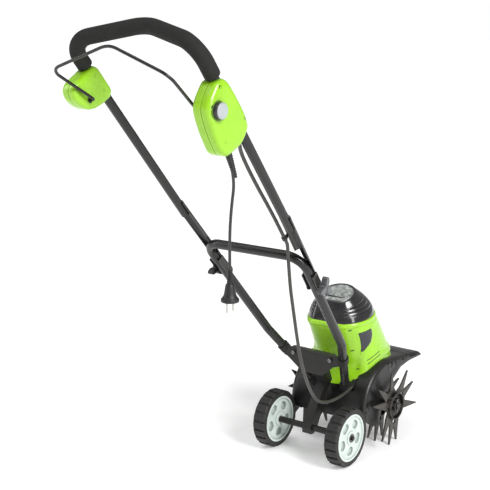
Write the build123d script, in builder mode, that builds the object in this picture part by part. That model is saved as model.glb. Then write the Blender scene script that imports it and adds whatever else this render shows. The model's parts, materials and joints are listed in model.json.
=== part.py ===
from build123d import *

import os
from math import cos, pi, radians, sin, sqrt

# Walk-behind electric tiller.  Millimetres, +X towards the tines, +Y to the operator's left, +Z up.
# Heights are above the ground.  Distances forward are measured from the wheel axle, and AXLE_X sets
# the axle in the frame, so that the origin lies on the ground below the middle of the machine.

# ---------------------------------------------------------------- driving dimensions
AXLE_X = 153.0                     # wheel axle ahead of the frame's origin
CLEAR = 0.10                       # running gap between bodies

WHEEL_R = 70.75
WHEEL_IN = 85.5                    # inner face of a wheel from the middle plane
WHEEL_W = 33.5
RIM_R = 57.3
LUGS = 20
AXLE_R = 5.25
ARM_PIVOT = (38.0, 221.0)          # pin of the wheel arm, side view
ARM_HALF = 12.5
PIN_R = 4.0

TINE_X = 188.0                     # tine shaft ahead of the axle
TINE_Z = 97.0
SPIKE_R = 100.0                    # tips of the spikes
SPIKE_ROOT = 50.0
STAR_OUT = 127.0                   # outer star from the middle plane
STAR_IN = 87.0
STAR_T = 4.0
STAR_CLAWS = (20.0, 140.0, 256.0)  # middle of each claw, degrees from +X towards +Z
STAR_SPIKES = ((26.0, -4.0), (1.5, 0.0), (-31.0, 8.0))   # angle in the claw, tip bent outboard
SHAFT_R = 9.0
HUB_R = 12.5

HOOD_R = 111.0                     # tunnel of the hood about the tine shaft
HOOD_HALF = 105.0
HOOD_WALL = 3.0
HOOD_CUT = 68.0                    # half width of the opening for the motor
LIP = (359.0, 185.0)               # front lip of the hood, side view

LEG_R = 10.5                       # lower handle tube
LEG_WALL = 1.5
FOOT = (97.0, 41.0, 148.0)         # lower end of the left leg
KNEE = (-28.0, 104.0, 306.0)       # where a leg bends in towards the gearbox
SHOULDER = (-236.0, 130.0, 553.0)  # where a leg turns into the cross bar

TUBE_R = 9.5                       # upper handle tube
TUBE_WALL = 1.3
LEAN = 39.75                       # the handle leans back from the vertical, degrees
HANDLE_REF = (-271.3, 600.0)       # a point of the upper tubes in side view, where run is 0
TUBE_Y = 137.4                     # tube from the middle plane at run 0
SPREAD = 0.0355                    # sideways opening of the tubes per millimetre of run
GRIP_RUN = 522.0                   # run at which the tubes turn into the hand bar
GRIP_TOP = (515.0, 57.0)           # middle of the hand bar, run and ahead
GRIP_R = 15.6                      # foam sleeve
PIVOT = (-172.8, 478.0)            # fold bolts, side view
PIVOT_Y = 122.1                    # leg axis at the fold bolts
SADDLE_IN = 11.6                   # formed tube end, inner and outer radius about the leg
SADDLE_OUT = 14.6
BOLT_R = 3.0
BAIL_PIVOT = (415.0, -46.0)        # turned-out feet of the bail, run and ahead
BAIL_LEG_Y = 123.0                 # legs beside the covers, from the middle plane
BAIL_R = 3.0
BUTTON = (409.0, -45.0)            # lock button, run and ahead
BUTTON_R = 15.2
BUTTON_TIP = -184.5

MOTOR_LEAN = 20.5                  # motor axis leans back from the vertical, degrees
WORM_OFF = 27.2                    # motor axis ahead of the tine shaft
WHEEL_TEETH = 27
COVER_WALL = 2.6
SEAM_BACK = (62.0, 318.0)          # seam of cover and cap, side view, at the back and the front
SEAM_FRONT = (187.0, 331.0)
CABLE_R = 3.7
LEAD_R = 2.9
LEAD_Y = -155.0                    # mains lead hangs in this plane

# ---------------------------------------------------------------- placing helpers
lean = radians(LEAN)
UP_RUN = Vector(-sin(lean), 0, cos(lean))        # along the handle, upward
AHEAD = Vector(cos(lean), 0, sin(lean))          # square to it, forward
tip = radians(MOTOR_LEAN)
MOTOR_UP = Vector(-sin(tip), 0, cos(tip))
MOTOR_AHEAD = Vector(cos(tip), 0, sin(tip))


def at(x, y, z):
    """A point given ahead of the axle, to the left, and above the ground."""
    return Vector(AXLE_X + x, y, z)


def side(y, x=0.0, z=0.0):
    """Side plane through a point: sketch X forward, sketch Y up, solids grow to the right (-Y)."""
    return Plane(origin=at(x, y, z), x_dir=(1, 0, 0), z_dir=(0, -1, 0))


def across(x):
    """Plane across the machine: sketch X to the left, sketch Y up, solids grow forward."""
    return Plane(origin=at(x, 0, 0), x_dir=(0, 1, 0), z_dir=(1, 0, 0))


def on_handle(run, ahead, y):
    """A point in handle terms: run up the tubes, distance ahead of them, and y."""
    return at(HANDLE_REF[0], y, HANDLE_REF[1]) + UP_RUN * run + AHEAD * ahead


def handle_side(y):
    """Side plane of the handle: sketch X up the tubes, sketch Y forward, solids grow to the left."""
    return Plane(origin=on_handle(0, 0, y), x_dir=UP_RUN, z_dir=(0, 1, 0))


def tube_point(run, hand):
    """Axis of an upper tube; hand is 1 on the left and -1 on the right."""
    return on_handle(run, 0, hand * (TUBE_Y + SPREAD * run))


def mirrored(point, hand):
    return at(point[0], hand * point[1], point[2])


def leg_plane(distance, hand):
    """Plane square to a leg's lower stretch, at a distance up from its foot."""
    foot = mirrored(FOOT, hand)
    up = (mirrored(KNEE, hand) - foot).normalized()
    return Plane(origin=foot + up * distance, z_dir=up)


def saddle_plane(distance, hand):
    """Plane square to a leg's upper stretch, at a distance up from the fold bolt; X is forward."""
    up = (mirrored(SHOULDER, hand) - mirrored(KNEE, hand)).normalized()
    origin = mirrored((PIVOT[0], PIVOT_Y, PIVOT[1]), hand) + up * distance
    return Plane(origin=origin, x_dir=Vector(up.Z, 0, -up.X), z_dir=up)


def motor_plane(height):
    """Plane square to the motor axis; height 0 is nearest the tine shaft, sketch X is forward."""
    base = at(TINE_X, 0, TINE_Z) + MOTOR_AHEAD * WORM_OFF
    return Plane(origin=base + MOTOR_UP * height, x_dir=MOTOR_AHEAD, z_dir=MOTOR_UP)


def start_plane(line):
    return Plane(origin=line @ 0, z_dir=line % 0)


def finish(built, label):
    """Label a sub-part and write it out."""
    built.part.label = label
    export_step(built.part, f"parts/{label}.step")


os.makedirs("parts", exist_ok=True)

# ================================================================ lower handle and its bracket
with BuildPart() as lower_handle:
    with BuildLine() as leg_line:
        FilletPolyline(
            mirrored(FOOT, 1), mirrored(KNEE, 1), mirrored(SHOULDER, 1),
            mirrored(SHOULDER, -1), mirrored(KNEE, -1), mirrored(FOOT, -1),
            radius=38,
        )
    with BuildSketch(start_plane(leg_line.line)):
        Circle(LEG_R)
        Circle(LEG_R - LEG_WALL, mode=Mode.SUBTRACT)
    sweep(path=leg_line.line)
    with BuildSketch(side(200, PIVOT[0], PIVOT[1])):
        Circle(BOLT_R + 0.1)
    extrude(amount=400, mode=Mode.SUBTRACT)
finish(lower_handle, "lower_handle")

COLLAR = (134.0, 18.0)             # collars on the legs: distance up from the foot, length
with BuildPart() as leg_collars:
    for hand in (1, -1):
        with BuildSketch(leg_plane(COLLAR[0], hand)):
            Circle(LEG_R + 3)
            Circle(LEG_R, mode=Mode.SUBTRACT)
        extrude(amount=COLLAR[1])
finish(leg_collars, "leg_collars")

BRACKET_X = 6.0
# Pressed cross plate between the legs, with two ears that carry the pin of the wheel arm.
with BuildPart() as handle_bracket:
    with BuildSketch(across(BRACKET_X)):
        with BuildLine():
            Polyline(
                (-84, 261), (84, 261), (80, 238), (60, 232), (30, 205), (-30, 205),
                (-60, 232), (-80, 238), close=True,
            )
        make_face()
    extrude(amount=4)
    for hand in (1, -1):
        with BuildSketch(side(hand * (ARM_HALF + 2.8) + 2)):
            with BuildLine():
                Polyline(
                    (BRACKET_X + 1, 256), (BRACKET_X + 1, 207), (42, 209), (50, 216), (50, 228),
                    (30, 248), close=True,
                )
            make_face()
        extrude(amount=4)
    with BuildSketch(across(BRACKET_X + 4)):
        with Locations((0, 259)):
            Rectangle(120, 4)
    extrude(amount=12)
    with BuildSketch(side(60, ARM_PIVOT[0], ARM_PIVOT[1])):
        Circle(PIN_R + 0.05)
    extrude(amount=120, mode=Mode.SUBTRACT)
    for hand in (1, -1):
        with BuildSketch(leg_plane(COLLAR[0] - 24, hand)):
            Circle(LEG_R + 3)
        extrude(amount=60, mode=Mode.SUBTRACT)
finish(handle_bracket, "handle_bracket")

with BuildPart() as bracket_bolts:
    for y in (-52, 52):
        with BuildSketch(across(BRACKET_X - 4)):
            with Locations((y, 248)):
                RegularPolygon(radius=6, side_count=6)
        extrude(amount=4)
finish(bracket_bolts, "bracket_bolts")

# Ring pin of the wheel arm, with its pull ring on the left.
with BuildPart() as arm_pin:
    with BuildSketch(side(22, ARM_PIVOT[0], ARM_PIVOT[1])):
        Circle(PIN_R)
    extrude(amount=48)
    with BuildSketch(side(-21, ARM_PIVOT[0], ARM_PIVOT[1])):
        Circle(6.5)
    extrude(amount=3)
    with BuildLine() as ring_line:
        FilletPolyline(
            at(38, 20, 223), at(38, 31, 225), at(44, 33, 208), at(44, 22.5, 206), at(38, 21, 219),
            radius=3.5,
        )
    with BuildSketch(start_plane(ring_line.line)):
        Circle(1.1)
    sweep(path=ring_line.line)
finish(arm_pin, "arm_pin")

# ================================================================ wheel arm, axle and wheels
with BuildPart() as wheel_arm:
    with BuildSketch(side(ARM_HALF)):
        with BuildLine():
            Polyline(
                (27, 232), (27, 214), (40, 196), (50, 172), (36, 154), (8, 112), (-14, 72), (-12, 58),
                (0, 56), (13, 62), (30, 92), (60, 112), (58, 148), (80, 172), (66, 206), (50, 228),
                (44, 233), close=True,
            )
        make_face()
    extrude(amount=2 * ARM_HALF)
    with BuildSketch(side(ARM_HALF - 3)):
        with BuildLine():
            Polyline(
                (30, 236), (30, 215), (43, 198), (54, 172), (39, 152), (11, 110), (-10, 72), (-6, 40),
                (60, 40), (100, 112), (100, 172), (80, 240), close=True,
            )
        make_face()
    extrude(amount=2 * ARM_HALF - 6, mode=Mode.SUBTRACT)
    with BuildSketch(side(60, ARM_PIVOT[0], ARM_PIVOT[1])):
        Circle(PIN_R + CLEAR)
    extrude(amount=120, mode=Mode.SUBTRACT)
    with BuildSketch(side(60, 0, WHEEL_R)):
        Circle(AXLE_R)
    extrude(amount=120, mode=Mode.SUBTRACT)
finish(wheel_arm, "wheel_arm")

WHEEL_OUT = WHEEL_IN + WHEEL_W
with BuildPart() as axle:
    with BuildSketch(side(WHEEL_OUT + 6, 0, WHEEL_R)):
        Circle(AXLE_R)
    extrude(amount=2 * (WHEEL_OUT + 6))
finish(axle, "axle")

with BuildPart() as axle_spacers:
    for start in (WHEEL_IN - CLEAR, -ARM_HALF - 0.05):
        with BuildSketch(side(start, 0, WHEEL_R)):
            Circle(AXLE_R + 2.5)
            Circle(AXLE_R, mode=Mode.SUBTRACT)
        extrude(amount=WHEEL_IN - CLEAR - ARM_HALF - 0.05)
finish(axle_spacers, "axle_spacers")

with BuildPart() as axle_clips:
    for start in (WHEEL_OUT + CLEAR + 2, -WHEEL_OUT - CLEAR):
        with BuildSketch(side(start, 0, WHEEL_R)):
            Circle(AXLE_R + 5)
            Circle(AXLE_R, mode=Mode.SUBTRACT)
        extrude(amount=2)
finish(axle_clips, "axle_clips")

for hand, name in ((1, "left"), (-1, "right")):
    inner = WHEEL_IN if hand == 1 else -WHEEL_IN
    outer = inner + hand * WHEEL_W
    high = max(inner, outer)
    with BuildPart() as wheel_tyre:
        with BuildSketch(side(high, 0, WHEEL_R)):
            Circle(WHEEL_R)
            Circle(RIM_R, mode=Mode.SUBTRACT)
        extrude(amount=WHEEL_W)
        chamfer(wheel_tyre.edges().filter_by(GeomType.CIRCLE).group_by(SortBy.RADIUS)[-1], 3)
        with BuildSketch(side(high, 0, WHEEL_R)):
            with PolarLocations(WHEEL_R, LUGS, start_angle=-90 + 180 / LUGS):
                Rectangle(7, 7)
        extrude(amount=WHEEL_W, mode=Mode.SUBTRACT)
    finish(wheel_tyre, f"tyre_{name}")
    with BuildPart() as wheel_rim:
        with BuildSketch(side(high, 0, WHEEL_R)):
            Circle(RIM_R)
            Circle(AXLE_R + CLEAR, mode=Mode.SUBTRACT)
        extrude(amount=WHEEL_W)
        for face, grow in ((outer, -hand * 9), (inner, hand * 12)):
            with BuildSketch(Plane(origin=at(0, face, WHEEL_R), x_dir=(1, 0, 0), z_dir=(0, 1, 0))):
                with PolarLocations(34, 5, start_angle=18):
                    SlotOverall(26, 20, rotation=90)
            extrude(amount=grow, mode=Mode.SUBTRACT)
            with BuildSketch(Plane(origin=at(0, face, WHEEL_R), x_dir=(1, 0, 0), z_dir=(0, 1, 0))):
                Circle(52)
                Circle(16, mode=Mode.SUBTRACT)
            extrude(amount=grow / 3, mode=Mode.SUBTRACT)
    finish(wheel_rim, f"rim_{name}")

# ================================================================ tine shaft and stars
SHAFT_HALF = STAR_OUT + 14
with BuildPart() as tine_shaft:
    with BuildSketch(side(SHAFT_HALF, TINE_X, TINE_Z)):
        Circle(SHAFT_R)
    extrude(amount=2 * SHAFT_HALF)
    chamfer(tine_shaft.edges().filter_by(GeomType.CIRCLE), 1)
    with BuildSketch(Plane(origin=at(TINE_X, 0, TINE_Z - 20))):
        with Locations((0, STAR_OUT + 8), (0, -STAR_OUT - 8)):
            Circle(2.5)
    extrude(amount=40, mode=Mode.SUBTRACT)
finish(tine_shaft, "tine_shaft")


def on_star(radius, degrees_up, y):
    """A point of a star: distance from the shaft, angle from +X towards +Z, and y."""
    turn = radians(degrees_up)
    return at(TINE_X + radius * cos(turn), y, TINE_Z + radius * sin(turn))


def star_flat(radius, degrees_up):
    turn = radians(degrees_up)
    return (radius * cos(turn), radius * sin(turn))


for hand, side_name in ((1, "left"), (-1, "right")):
    for station, place in ((STAR_OUT, "outer"), (STAR_IN, "inner")):
        y = hand * station
        outline = []
        for claw in STAR_CLAWS:
            outline.append(star_flat(34, claw - 60))
            for spike, bend in reversed(STAR_SPIKES):
                outline.append(star_flat(SPIKE_ROOT, claw + spike - 12))
                outline.append(star_flat(SPIKE_ROOT, claw + spike + 12))
        with BuildPart() as star:
            with BuildSketch(side(y + STAR_T / 2, TINE_X, TINE_Z)):
                with BuildLine():
                    Polyline(*outline, close=True)
                make_face()
                with PolarLocations(41, 3, start_angle=STAR_CLAWS[0] + 8):
                    Circle(6.5, mode=Mode.SUBTRACT)
            extrude(amount=STAR_T)
            with BuildSketch(side(y + 9, TINE_X, TINE_Z)):
                Circle(HUB_R)
            extrude(amount=18)
            with BuildSketch(side(y + hand * STAR_T / 2 + (7 if hand == 1 else 0), TINE_X, TINE_Z)):
                Circle(34)
                Circle(31, mode=Mode.SUBTRACT)
            extrude(amount=7)
            for claw in STAR_CLAWS:
                for spike, bend in STAR_SPIKES:
                    root = on_star(SPIKE_ROOT - 5, claw + spike, y)
                    end = on_star(SPIKE_R, claw + spike, y + hand * bend)
                    along = (end - root).normalized()
                    edgewise = Vector(-sin(radians(claw + spike)), 0, cos(radians(claw + spike)))
                    reach = (end - root).length
                    with BuildSketch(Plane(origin=root, x_dir=along, z_dir=along.cross(edgewise))):
                        with BuildLine():
                            Polyline(
                                (0, -11), (reach - 1, -1.4), (reach, 0), (reach - 1, 1.4), (0, 11),
                                close=True,
                            )
                        make_face()
                    extrude(amount=STAR_T / 2, both=True)
            with BuildSketch(side(y + 20, TINE_X, TINE_Z)):
                Circle(SHAFT_R)
            extrude(amount=40, mode=Mode.SUBTRACT)
            with BuildSketch(Plane(origin=at(TINE_X, y + hand * 8, TINE_Z - 20))):
                Circle(2.5)
            extrude(amount=40, mode=Mode.SUBTRACT)
        finish(star, f"star_{side_name}_{place}")

# Hitch pins that lock the outer stars to the shaft.
with BuildPart() as hitch_pins:
    for y in (STAR_OUT + 8, -STAR_OUT - 8):
        with BuildSketch(Plane(origin=at(TINE_X, y, TINE_Z - HUB_R - 4))):
            Circle(2.5)
        extrude(amount=2 * HUB_R + 8)
        with BuildSketch(Plane(origin=at(TINE_X, y, TINE_Z + HUB_R + 4))):
            Circle(4.5)
        extrude(amount=3)
finish(hitch_pins, "hitch_pins")

# ================================================================ gearbox
GEAR_R = 20.6
with BuildPart() as worm_wheel:
    with BuildSketch(side(7, TINE_X, TINE_Z)):
        Circle(GEAR_R - 2.6)
        with PolarLocations(GEAR_R - 2, WHEEL_TEETH):
            Trapezoid(4, 3, 72, rotation=-90)
        Circle(SHAFT_R, mode=Mode.SUBTRACT)
    extrude(amount=14)
    with BuildSketch(side(12, TINE_X, TINE_Z)):
        Circle(13)
        Circle(SHAFT_R, mode=Mode.SUBTRACT)
    extrude(amount=24)
finish(worm_wheel, "worm_wheel")

with BuildPart() as shaft_bearings:
    for start in (24, -15):
        with BuildSketch(side(start, TINE_X, TINE_Z)):
            Circle(15)
            Circle(SHAFT_R + CLEAR, mode=Mode.SUBTRACT)
        extrude(amount=9)
finish(shaft_bearings, "shaft_bearings")

with BuildPart() as shaft_seals:
    for start in (31, -26):
        with BuildSketch(side(start, TINE_X, TINE_Z)):
            Circle(14)
            Circle(SHAFT_R + CLEAR, mode=Mode.SUBTRACT)
        extrude(amount=5)
finish(shaft_seals, "shaft_seals")

MOTOR_BASE = 106.0                 # top flange of the gearbox, up the motor axis
MOTOR_END = 226.0
for keep, name in ((Keep.BOTTOM, "left"), (Keep.TOP, "right")):
    with BuildPart() as gearbox:
        with BuildSketch(side(31, TINE_X, TINE_Z)):
            Circle(30)
        extrude(amount=62)
        with BuildSketch(motor_plane(-34)):
            Circle(17)
        extrude(amount=90)
        with BuildSketch(motor_plane(44)):
            Circle(26)
        extrude(amount=MOTOR_BASE - 44)
        with BuildSketch(motor_plane(MOTOR_BASE)):
            Circle(51)
        extrude(amount=6)
        with BuildSketch(side(44, TINE_X, TINE_Z)):
            with BuildLine():
                CenterArc((0, 0), 107.6, 137, 33)
                CenterArc((0, 0), 101.6, 137, 33)
                Line(star_flat(107.6, 137), star_flat(101.6, 137))
                Line(star_flat(107.6, 170), star_flat(101.6, 170))
            make_face()
        extrude(amount=88)
        with BuildSketch(side(9)):
            with BuildLine():
                Polyline(
                    (TINE_X - 10, TINE_Z + 15), (TINE_X - 96, TINE_Z + 34), (TINE_X - 87, TINE_Z + 52),
                    (TINE_X - 14, TINE_Z + 50), close=True,
                )
            make_face()
        extrude(amount=18)
        for hand in (1, -1):
            with BuildSketch(leg_plane(-8, hand)):
                Circle(LEG_R + 3)
            extrude(amount=34)
        for hand in (1, -1):
            with BuildSketch(leg_plane(0, hand)):
                Circle(LEG_R)
            extrude(amount=60, mode=Mode.SUBTRACT)
        with BuildSketch(side(15, TINE_X, TINE_Z)):
            Circle(GEAR_R + 2)
        extrude(amount=30, mode=Mode.SUBTRACT)
        with BuildSketch(side(24, TINE_X, TINE_Z)):
            Circle(15)
        extrude(amount=48, mode=Mode.SUBTRACT)
        with BuildSketch(side(40, TINE_X, TINE_Z)):
            Circle(SHAFT_R + CLEAR)
        extrude(amount=80, mode=Mode.SUBTRACT)
        with BuildSketch(side(31, TINE_X, TINE_Z)):
            Circle(14)
        extrude(amount=5, mode=Mode.SUBTRACT)
        with BuildSketch(side(-26, TINE_X, TINE_Z)):
            Circle(14)
        extrude(amount=5, mode=Mode.SUBTRACT)
        with BuildSketch(motor_plane(-28)):
            Circle(9)
        extrude(amount=58, mode=Mode.SUBTRACT)
        with BuildSketch(motor_plane(30)):
            Circle(11)
        extrude(amount=9, mode=Mode.SUBTRACT)
        with BuildSketch(motor_plane(39)):
            Circle(8)
        extrude(amount=15, mode=Mode.SUBTRACT)
        with BuildSketch(motor_plane(54)):
            Circle(21)
        extrude(amount=MOTOR_BASE - 60, mode=Mode.SUBTRACT)
        with BuildSketch(motor_plane(60)):
            Circle(6)
        extrude(amount=60, mode=Mode.SUBTRACT)
        split(bisect_by=Plane(origin=(0, 0, 0), x_dir=(1, 0, 0), z_dir=(0, 1, 0)), keep=keep)
    finish(gearbox, f"gearbox_{name}")

# ================================================================ motor
with BuildPart() as motor_frame:
    with BuildSketch(motor_plane(MOTOR_BASE + 6)):
        Circle(49)
        Circle(46, mode=Mode.SUBTRACT)
    extrude(amount=MOTOR_END - MOTOR_BASE - 10)
    with BuildSketch(motor_plane(MOTOR_END - 4)):
        Circle(49)
        with PolarLocations(28, 6):
            SlotOverall(22, 9, rotation=90, mode=Mode.SUBTRACT)
    extrude(amount=4)
    with BuildSketch(motor_plane(MOTOR_END - 12)):
        Circle(15)
    extrude(amount=16)
    with BuildSketch(motor_plane(MOTOR_END - 12)):
        Circle(11)
    extrude(amount=10, mode=Mode.SUBTRACT)
    with BuildSketch(motor_plane(MOTOR_END - 2)):
        Circle(5)
    extrude(amount=10, mode=Mode.SUBTRACT)
    with BuildSketch(motor_plane(MOTOR_BASE + 6)):
        with PolarLocations(46, 8):
            Rectangle(20, 10)
    extrude(amount=12, mode=Mode.SUBTRACT)
finish(motor_frame, "motor_frame")

with BuildPart() as motor_bearings:
    for start in (30, MOTOR_END - 12):
        with BuildSketch(motor_plane(start)):
            Circle(11)
            Circle(4 + CLEAR, mode=Mode.SUBTRACT)
        extrude(amount=9)
finish(motor_bearings, "motor_bearings")

with BuildPart() as stator:
    with BuildSketch(motor_plane(134)):
        Circle(46)
        Circle(23.5, mode=Mode.SUBTRACT)
        with PolarLocations(33, 2, start_angle=90):
            Rectangle(14, 41, mode=Mode.SUBTRACT)
    extrude(amount=50)
finish(stator, "stator")

with BuildPart() as field_coils:
    for y in (33, -33):
        with BuildSketch(motor_plane(128)):
            with Locations((0, y)):
                Rectangle(40, 13)
        extrude(amount=62)
finish(field_coils, "field_coils")

with BuildPart() as brush_holders:
    for y in (27, -27):
        with BuildSketch(motor_plane(197)):
            with Locations((0, y)):
                Rectangle(12, 22)
        extrude(amount=10)
finish(brush_holders, "brush_holders")

with BuildPart() as motor_shaft:
    with BuildSketch(motor_plane(-27)):
        Circle(4)
    extrude(amount=MOTOR_END - 2 + 27)
    for turn in range(9):
        with BuildSketch(motor_plane(-20 + 4.7 * turn)):
            Circle(6.2)
        extrude(amount=2.2)
finish(motor_shaft, "motor_shaft")

with BuildPart() as armature:
    with BuildSketch(motor_plane(134)):
        Circle(22.7)
        Circle(4, mode=Mode.SUBTRACT)
        with PolarLocations(21, 12):
            Rectangle(7, 2.4, mode=Mode.SUBTRACT)
    extrude(amount=50)
    with BuildSketch(motor_plane(128)):
        Circle(19)
        Circle(4, mode=Mode.SUBTRACT)
    extrude(amount=62)
finish(armature, "armature")

with BuildPart() as commutator:
    with BuildSketch(motor_plane(194)):
        Circle(14.5)
        Circle(4, mode=Mode.SUBTRACT)
    extrude(amount=16)
finish(commutator, "commutator")

with BuildPart() as fan:
    with BuildSketch(motor_plane(114)):
        Circle(44)
        Circle(4, mode=Mode.SUBTRACT)
    extrude(amount=2)
    with BuildSketch(motor_plane(116)):
        with PolarLocations(29, 9):
            Rectangle(28, 2, rotation=18)
        Circle(9)
        Circle(4, mode=Mode.SUBTRACT)
    extrude(amount=9)
finish(fan, "fan")

# ================================================================ hood over the tines


def hood_edge(inset, front):
    """Side outline of the hood, moved in from its outer skin, closed down to the shaft's height."""
    radius = HOOD_R - inset
    CenterArc((0, 0), radius, 82, 106)
    Polyline(
        star_flat(radius, 82), (front - TINE_X, LIP[1] - TINE_Z - inset), (front - TINE_X, 0), (0, 0),
        star_flat(radius, 188),
    )


with BuildPart() as tine_hood:
    with BuildSketch(side(HOOD_HALF, TINE_X, TINE_Z)):
        with BuildLine():
            hood_edge(0, LIP[0])
        make_face()
    extrude(amount=2 * HOOD_HALF)
    with BuildSketch(side(HOOD_HALF - HOOD_WALL, TINE_X, TINE_Z)):
        with BuildLine():
            hood_edge(HOOD_WALL, LIP[0] - HOOD_WALL)
        make_face()
    extrude(amount=2 * HOOD_HALF - 2 * HOOD_WALL, mode=Mode.SUBTRACT)
    with BuildSketch(side(HOOD_HALF + 5)):
        with BuildLine():
            Polyline(
                (LIP[0] + 20, 178), (294, 182), (253, 177), (218, 158), (199, 142), (179, 130),
                (161, 96), (160, 60), (LIP[0] + 20, 60), close=True,
            )
        make_face()
    extrude(amount=2 * HOOD_HALF + 10, mode=Mode.SUBTRACT)
    for start in (HOOD_HALF, -HOOD_HALF + HOOD_WALL):
        with BuildSketch(side(start)):
            with BuildLine():
                Polyline(
                    (78.4, 84), (112, 62), (125, 57), (149, 60), (161, 96), (164, 104), (110, 104),
                    close=True,
                )
            make_face()
        extrude(amount=HOOD_WALL)
    with BuildSketch(side(HOOD_CUT, TINE_X, TINE_Z)):
        with BuildLine():
            Polyline(
                star_flat(60, 80), star_flat(140, 80), star_flat(140, 115), star_flat(140, 151),
                star_flat(60, 151), close=True,
            )
        make_face()
    extrude(amount=2 * HOOD_CUT, mode=Mode.SUBTRACT)
    for hand in (1, -1):
        with BuildSketch(leg_plane(-12, hand)):
            Circle(LEG_R + 4)
        extrude(amount=60, mode=Mode.SUBTRACT)
finish(tine_hood, "tine_hood")

# ================================================================ motor cover and cap
SEAM_RISE = (SEAM_FRONT[1] - SEAM_BACK[1]) / (SEAM_FRONT[0] - SEAM_BACK[0])
SEAM = Plane(
    origin=at(SEAM_BACK[0], 0, SEAM_BACK[1]), x_dir=(1, 0, SEAM_RISE), z_dir=(-SEAM_RISE, 0, 1),
)
# Shell sections up the motor axis: height, back, half width of the flat back, front
SHELL = (
    (40, -61, 34, 119),
    (95, -61.5, 35, 113),
    (160, -63, 39, 99),
    (235, -67, 45, 82),
    (292, -29, 37, 47),
)


def shell_edge(back, half, front):
    ThreePointArc((back, half), (front, 0), (back, -half))
    Line((back, -half), (back, half))


for part_name in ("motor_cover", "motor_cap"):
    with BuildPart() as shell:
        for inset, action in ((0, Mode.ADD), (COVER_WALL, Mode.SUBTRACT)):
            for height, back, half, front in SHELL:
                lift = height - (inset if height == SHELL[-1][0] else 0)
                with BuildSketch(motor_plane(lift)) as section:
                    with BuildLine():
                        shell_edge(back + inset, half - 0.6 * inset, front - inset)
                    make_face()
                    fillet(section.vertices(), 9 - inset)
            loft(ruled=True, mode=action)
        if part_name == "motor_cover":
            split(bisect_by=SEAM, keep=Keep.BOTTOM)
            with BuildSketch(motor_plane(0)):
                Rectangle(400, 400)
            extrude(amount=72, mode=Mode.SUBTRACT)
            for start, width in ((130, 130 - HOOD_CUT), (-HOOD_CUT, 130 - HOOD_CUT)):
                with BuildSketch(side(start, TINE_X, TINE_Z)):
                    with BuildLine():
                        hood_edge(0, LIP[0])
                    make_face()
                extrude(amount=width, mode=Mode.SUBTRACT)
            with BuildSketch(side(HOOD_CUT, TINE_X, TINE_Z)) as front_part:
                with BuildLine():
                    hood_edge(0, LIP[0])
                make_face()
                with Locations((-138, 60)):
                    Rectangle(280, 400, mode=Mode.SUBTRACT)
            extrude(amount=2 * HOOD_CUT, mode=Mode.SUBTRACT)
            with BuildSketch(motor_plane(60)):
                with Locations((-53, -46)):
                    Circle(6.5)
            extrude(amount=40, mode=Mode.SUBTRACT)
        else:
            split(bisect_by=SEAM, keep=Keep.TOP)
            with BuildSketch(motor_plane(280)):
                with Locations((7, 0)):
                    SlotOverall(60, 52, rotation=90)
            extrude(amount=40, mode=Mode.SUBTRACT)
    finish(shell, part_name)

# Slotted plate in the top of the cap.
with BuildPart() as cap_grille:
    with BuildSketch(motor_plane(289)):
        with Locations((7, 0)):
            SlotOverall(59.7, 51.7, rotation=90)
            with GridLocations(5, 0, 8, 1):
                SlotOverall(34, 2, rotation=90, mode=Mode.SUBTRACT)
    extrude(amount=2.4)
finish(cap_grille, "cap_grille")

# ================================================================ upper handle
HAND_CORNER = TUBE_Y + SPREAD * GRIP_RUN


def hand_bar(left_run, right_run):
    """Corner points of the upper handle from the left tube over the hand bar to the right tube."""
    return (
        tube_point(left_run, 1), on_handle(GRIP_RUN, 0, HAND_CORNER), on_handle(*GRIP_TOP, 0),
        on_handle(GRIP_RUN, 0, -HAND_CORNER), tube_point(right_run, -1),
    )


with BuildPart() as upper_handle:
    with BuildLine() as handle_line:
        FilletPolyline(*hand_bar(30, 30), radius=(42, 85, 42))
    with BuildSketch(start_plane(handle_line.line)):
        Circle(TUBE_R)
        Circle(TUBE_R - TUBE_WALL, mode=Mode.SUBTRACT)
    sweep(path=handle_line.line)
    for hand in (1, -1):
        for start, stop, notched in ((26, 60, False), (60, 114, True), (114, 222, False)):
            with BuildSketch(saddle_plane(start, hand)):
                Circle(SADDLE_OUT)
                Circle(SADDLE_IN, mode=Mode.SUBTRACT)
                with Locations((3.4 - 40, 0)):
                    Rectangle(80, 80, mode=Mode.SUBTRACT)
                if notched:
                    with Locations((12.5 - 40, -hand * 40)):
                        Rectangle(80, 80, mode=Mode.SUBTRACT)
            extrude(amount=stop - start)
        for cheek in (1, -1):
            eye = saddle_plane(0, hand)
            with BuildSketch(Plane(
                origin=eye.origin + eye.y_dir * (cheek * 12), x_dir=eye.z_dir, z_dir=eye.y_dir * cheek,
            )):
                Circle(11)
                with Locations((22, 0)):
                    Rectangle(44, 18)
            extrude(amount=SADDLE_OUT - 12)
    with BuildSketch(side(200, PIVOT[0], PIVOT[1])):
        Circle(BOLT_R + CLEAR)
    extrude(amount=400, mode=Mode.SUBTRACT)
finish(upper_handle, "upper_handle")

with BuildPart() as grip_foam:
    with BuildLine() as foam_line:
        FilletPolyline(*hand_bar(458, 449), radius=(42, 85, 42))
    with BuildSketch(start_plane(foam_line.line)):
        Circle(GRIP_R)
        Circle(TUBE_R, mode=Mode.SUBTRACT)
    sweep(path=foam_line.line)
finish(grip_foam, "grip_foam")

# Fold bolts, with the heads inboard and the knobs on their outer ends.
with BuildPart() as fold_bolts:
    for start in (148, -103):
        with BuildSketch(side(start, PIVOT[0], PIVOT[1])):
            Circle(BOLT_R)
        extrude(amount=45)
    for start in (106.6, -103):
        with BuildSketch(side(start, PIVOT[0], PIVOT[1])):
            RegularPolygon(radius=5.6, side_count=6)
        extrude(amount=3.6)
finish(fold_bolts, "fold_bolts")

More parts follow.
